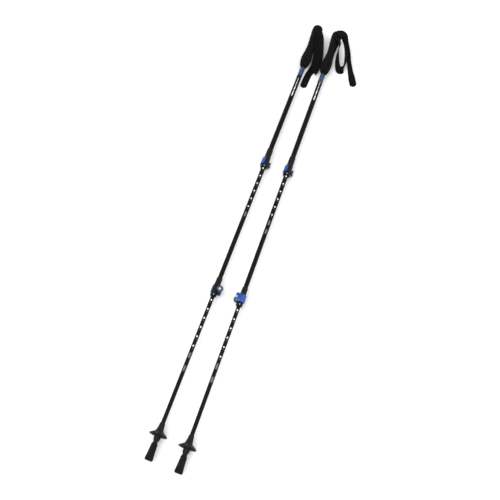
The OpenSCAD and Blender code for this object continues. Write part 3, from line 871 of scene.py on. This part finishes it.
def basket(side):
    """A small trekking basket: a threaded hub, a dished rim with lobes, ribs and holes."""
    section = rounded([(5.96, 46, 0), (7, 46, 0.4), (8, 53, 1), (8.4, 60, 1.5), (12, 61.4, 2),
                       (20.6, RIM_Z, 0.5), (BASKET_R, RIM_Z + 0.6, 0.5), (BASKET_R, RIM_Z + 2, 0.6),
                       (20.8, RIM_Z + 2.8, 0.6), (13, 65, 3), (9.2, 68.4, 2.5), (7.3, 77, 5),
                       (6, 88, 0.3), (5.06, 88, 0), (5.06, 74.4, 0), (5.96, 74.4, 0)], 4, True)
    notch_centre, notch_r = BASKET_R + 1.6, 4.0

    def lobed(angle, r, z):
        from_notch = (angle / (2 * math.pi) * LOBES % 1 - 0.5) * 2 * math.pi / LOBES
        sideways = notch_centre * math.sin(from_notch)
        if r > 16 and abs(sideways) < notch_r:
            depth = math.sqrt(notch_r ** 2 - sideways ** 2)
            r = min(r, notch_centre * math.cos(from_notch) - depth)
        from_rib = math.cos(LOBES * angle)
        if 10.5 < r and z > 60.3:
            z += 0.9 * max(0, from_rib) ** 14 * bump_up(r, 10.5, 19, 3)
        if 70 < z < 86 and r > 6.2:
            r -= 0.35 * (0.5 + 0.5 * math.cos(16 * angle)) ** 2
        return r, z

    fine = refined(section + [section[0]], 1.2)[:-1]
    piece = solid(f"{side}_basket_ring", turned(fine, 256, True, lobed), POLE[side], 38)
    holes = []
    for k in range(LOBES):
        angle = (k + 0.5) * 2 * math.pi / LOBES
        spot = Vector((14.6 * math.sin(angle), -14.6 * math.cos(angle), RIM_Z + 5))
        points, faces = rod_shape(1.9, 24, 32)
        holes.append(([Vector(point) + spot for point in points], faces))
    cut(piece, [solid("holes", joined(holes), POLE[side])], sharp=38)
    return settle(piece, f"{side}_basket", "basket_plastic", MATERIALS["basket"], f"{side}_basket")


def rubber_foot(side):
    """A press-on walking foot: flared, with rings up its neck and blocks in its tread."""
    section = rounded([(4.86, 7, 0), (0.6, 7, 0), (0.6, 0.05, 0), (9.0, 0.05, 0.4),
                       (9.8, 2.4, 0.8), (9.6, 6, 1), (8.2, 25, 4), (7.5, 37, 0.5),
                       (6.9, 38.9, 0.5), (4.86, 38.9, 0)], 4, True)

    def ribbed(angle, r, z):
        if z < 0.5:
            z += 0.9 * (0.5 + 0.5 * math.cos(12 * angle)) ** 6 * bump_up(r, 3.5, 9.4, 1.5)
        if r > 6 and z > 7:
            r -= 0.42 * (0.5 + 0.5 * math.cos(z * 2 * math.pi / 4.6)) ** 3 * bump_up(z, 9, 35, 4)
        if r > 8.5 and z < 7:
            r -= 0.5 * (0.5 + 0.5 * math.cos(12 * angle)) ** 6
        return r, z

    fine = refined(section + [section[0]], 0.55)[:-1]
    piece = solid(f"{side}_walking_foot", turned(fine, 144, True, ribbed), POLE[side], 45)
    return settle(piece, f"{side}_foot", "foot_rubber", MATERIALS["foot"], f"{side}_rubber_foot")


# ---- printed marks ----

PRINT_THICK = 0.035
PRINT_Z = {"left": 1072, "right": 1082}
MARK_TURN = math.radians(9)
DIGIT_BARS = {
    "0": "abcdef", "1": "bc", "2": "abged", "3": "abgcd", "4": "fgbc", "5": "afgcd",
    "6": "afgedc", "7": "abc", "8": "abcdefg", "9": "abcdfg",
}


def printed(radius, rows, turn):
    """A thin shell on a tube between rows (z, left, right) of arc lengths from the mark's line."""
    rings = []
    for z, left, right in rows:
        ring = []
        for r, ends in ((radius + PRINT_THICK, (left, right)), (radius - 0.02, (right, left))):
            for k in range(9):
                angle = turn + (ends[0] + (ends[1] - ends[0]) * k / 8) / radius
                ring.append((r * math.sin(angle), -r * math.cos(angle), z))
        rings.append(ring)
    return loft(rings)


def diamond(radius, z, half, turn):
    """A diamond in enough rows to follow the tube's round surface."""
    rows = []
    for k in range(-6, 7):
        wide = max(0.06, half * (1 - abs(k) / 6))
        rows.append((z + half * k / 6, -wide, wide))
    return printed(radius, rows, turn)


def slanted_bar(radius, z, length, width, slant, turn, off=0.0):
    """A bar along the tube with slanted ends."""
    rows = []
    for k in range(7):
        share = k / 6
        rows.append((z + length * share, off - width / 2 + slant * share,
                     off + width / 2 + slant * share))
    return printed(radius, rows, turn)


def digit(radius, text, z, off, turn, tall=2.1, wide=1.0, stroke=0.26):
    """A digit of plain bars, its foot at z."""
    half = tall / 2
    bars = {
        "a": (z + tall - stroke, z + tall, off, off + wide),
        "b": (z + half, z + tall, off + wide - stroke, off + wide),
        "c": (z, z + half, off + wide - stroke, off + wide),
        "d": (z, z + stroke, off, off + wide),
        "e": (z, z + half, off, off + stroke),
        "f": (z + half, z + tall, off, off + stroke),
        "g": (z + half - stroke / 2, z + half + stroke / 2, off, off + wide),
    }
    return [printed(radius, [(bars[k][0], bars[k][2], bars[k][3]),
                             (bars[k][1], bars[k][2], bars[k][3])], turn)
            for k in DIGIT_BARS[text]]


def length_scale(side, which):
    """White diamonds every 25 mm below a lock, numbered in centimetres of the whole pole."""
    lock_z = joint_place(side, f"{which}_nut_turn").z - EAR_Z
    radius, first, section = ((MIDDLE_R, lock_z - 4, "middle_section") if which == "upper"
                              else (LOWER_R, lock_z - 12, "lower_section"))
    marks = []
    digits = []
    for k in range(6):
        z = first - 25 * k
        marks.append(diamond(radius, z, 2.5, MARK_TURN))
        number = str(135 - 5 * k)
        for place, character in enumerate(number):
            digits += digit(radius, character, z - 7.4, (place - 1.5) * 1.4 + 0.2, MARK_TURN)
    for name, shapes, ink in (("scale", marks, "ink"), ("digits", digits, "grey_ink")):
        piece = solid(f"{side}_{which}_{name}", joined(shapes), POLE[side], 30)
        settle(piece, f"{side}_{section}", "black_tube", MATERIALS[ink])


def grey_marks(side):
    """Short grey bars further down the tubes."""
    for name, radius, section, spots in (
            ("middle", MIDDLE_R, "middle_section", (656, 629) if side == "right" else (656,)),
            ("lower", LOWER_R, "lower_section", (250, 216))):
        shapes = [slanted_bar(radius, z, 14, 1.2, 0.0, MARK_TURN, off)
                  for z in spots for off in (-1.2, 1.2)]
        piece = solid(f"{side}_{name}_grey_marks", joined(shapes), POLE[side], 30)
        settle(piece, f"{side}_{section}", "black_tube", MATERIALS["grey_ink"])


def upper_print(side):
    """Plain slanted bars on the upper tube, and a small white triangle on each collar's lower edge."""
    shapes = []
    z = PRINT_Z[side]
    for length, width in ((16, 2.6), (3, 2.6), (9, 2.6), (3, 2.6), (12, 1.4), (6, 1.4), (3, 1.4)):
        shapes.append(slanted_bar(UPPER_R, z, length, width, 0.7, MARK_TURN * 0.5))
        z += length + 2.6
    piece = solid(f"{side}_upper_print", joined(shapes), POLE[side], 30)
    settle(piece, f"{side}_upper_section", "black_tube", MATERIALS["ink"])
    for which, section in (("upper", "upper_section"), ("lower", "middle_section")):
        lock_z = joint_place(side, f"{which}_nut_turn").z - EAR_Z
        radius = LOCKS[which][0] + 2.3
        # a small white triangle on the collar's lower edge
        rows = [(lock_z + 1.9, -0.1, 0.1), (lock_z + 4.4, -1.2, 1.2)]
        white_triangle = solid(f"{side}_{which}_pointer", printed(radius, rows, MARK_TURN), POLE[side], 30)
        settle(white_triangle, f"{side}_{section}", "dark_plastic", MATERIALS["ink"])


# ---- stage ----

CAMERA_AZIMUTH, CAMERA_ELEVATION = 18.6, 64.0
CAMERA_FROM_FEET = Vector((0.2654, -0.1796, 1.6355))  # from the ground midway between the feet
CAMERA_LENS = 50.41
CAMERA_SHIFT = (-0.001, 0.0028)


def soft_light(name, place, target, size, power):
    """A square softbox that faces its target."""
    light = bpy.data.lights.new(name, "AREA")
    light.size = size
    light.energy = power
    lamp = bpy.data.objects.new(name, light)
    lamp.location = place
    lamp.rotation_euler = (Vector(target) - Vector(place)).to_track_quat("-Z", "Y").to_euler()
    bpy.context.scene.collection.objects.link(lamp)


def make_stage():
    """A pale floor, soft lights and a dim white surround."""
    low, high = cad_bounds
    floor_mesh = bpy.data.meshes.new("floor")
    reach = 30
    corners = [(-reach, -reach, 0), (reach, -reach, 0), (reach, reach, 0), (-reach, reach, 0)]
    floor_mesh.from_pydata(corners, [], [(0, 1, 2, 3)])
    floor = bpy.data.objects.new("floor", floor_mesh)
    bpy.context.scene.collection.objects.link(floor)
    paint = Shader("floor_paint", (0.93, 0.93, 0.93), 0.95, Specular_IOR_Level=0.0)
    grain = paint.noise(paint.place(), 3, 2)
    paint.colour(paint.mixed(grain, (0.92, 0.92, 0.92), (0.94, 0.94, 0.94)))
    floor_mesh.materials.append(paint.material)

    world = bpy.data.worlds.new("studio")
    bpy.context.scene.world = world
    world.use_nodes = True
    world.node_tree.nodes["Background"].inputs["Color"].default_value = (1, 1, 1, 1)
    world.node_tree.nodes["Background"].inputs["Strength"].default_value = 1.0

    middle = (low + high) / 2
    soft_light("key_light", middle + Vector((-0.6, -0.9, 2.6)), middle, 2.4, 42)
    soft_light("fill_light", middle + Vector((1.8, 0.6, 2.0)), middle, 1.8, 14)


def make_camera():
    feet = [Vector(MOUNTS[f"{side}_foot_tread"]["pos_m"]) for side in SIDES]
    start = Vector(((feet[0].x + feet[1].x) / 2, feet[0].y, 0))
    azimuth = math.radians(CAMERA_AZIMUTH)
    tilt = math.radians(90 - CAMERA_ELEVATION)
    data = bpy.data.cameras.new("camera")
    data.lens = CAMERA_LENS
    data.shift_x, data.shift_y = CAMERA_SHIFT
    data.sensor_width = 36
    camera = bpy.data.objects.new("camera", data)
    camera.location = start + CAMERA_FROM_FEET
    camera.rotation_euler = (tilt, 0, azimuth)
    bpy.context.scene.collection.objects.link(camera)
    bpy.context.scene.camera = camera
    bpy.context.scene.view_settings.view_transform = "Standard"


# ---- assembly ----

dress_cad_nodes()
for pole_side in SIDES:
    foam_sleeve(pole_side)
    moulded_head(pole_side)
    wrist_strap(pole_side)
    for lock in LOCKS:
        lock_collar(pole_side, lock)
        lock_lever(pole_side, lock)
        thumb_nut(pole_side, lock)
        length_scale(pole_side, lock)
    grey_marks(pole_side)
    upper_print(pole_side)
    basket(pole_side)
    rubber_foot(pole_side)

make_stage()
make_camera()
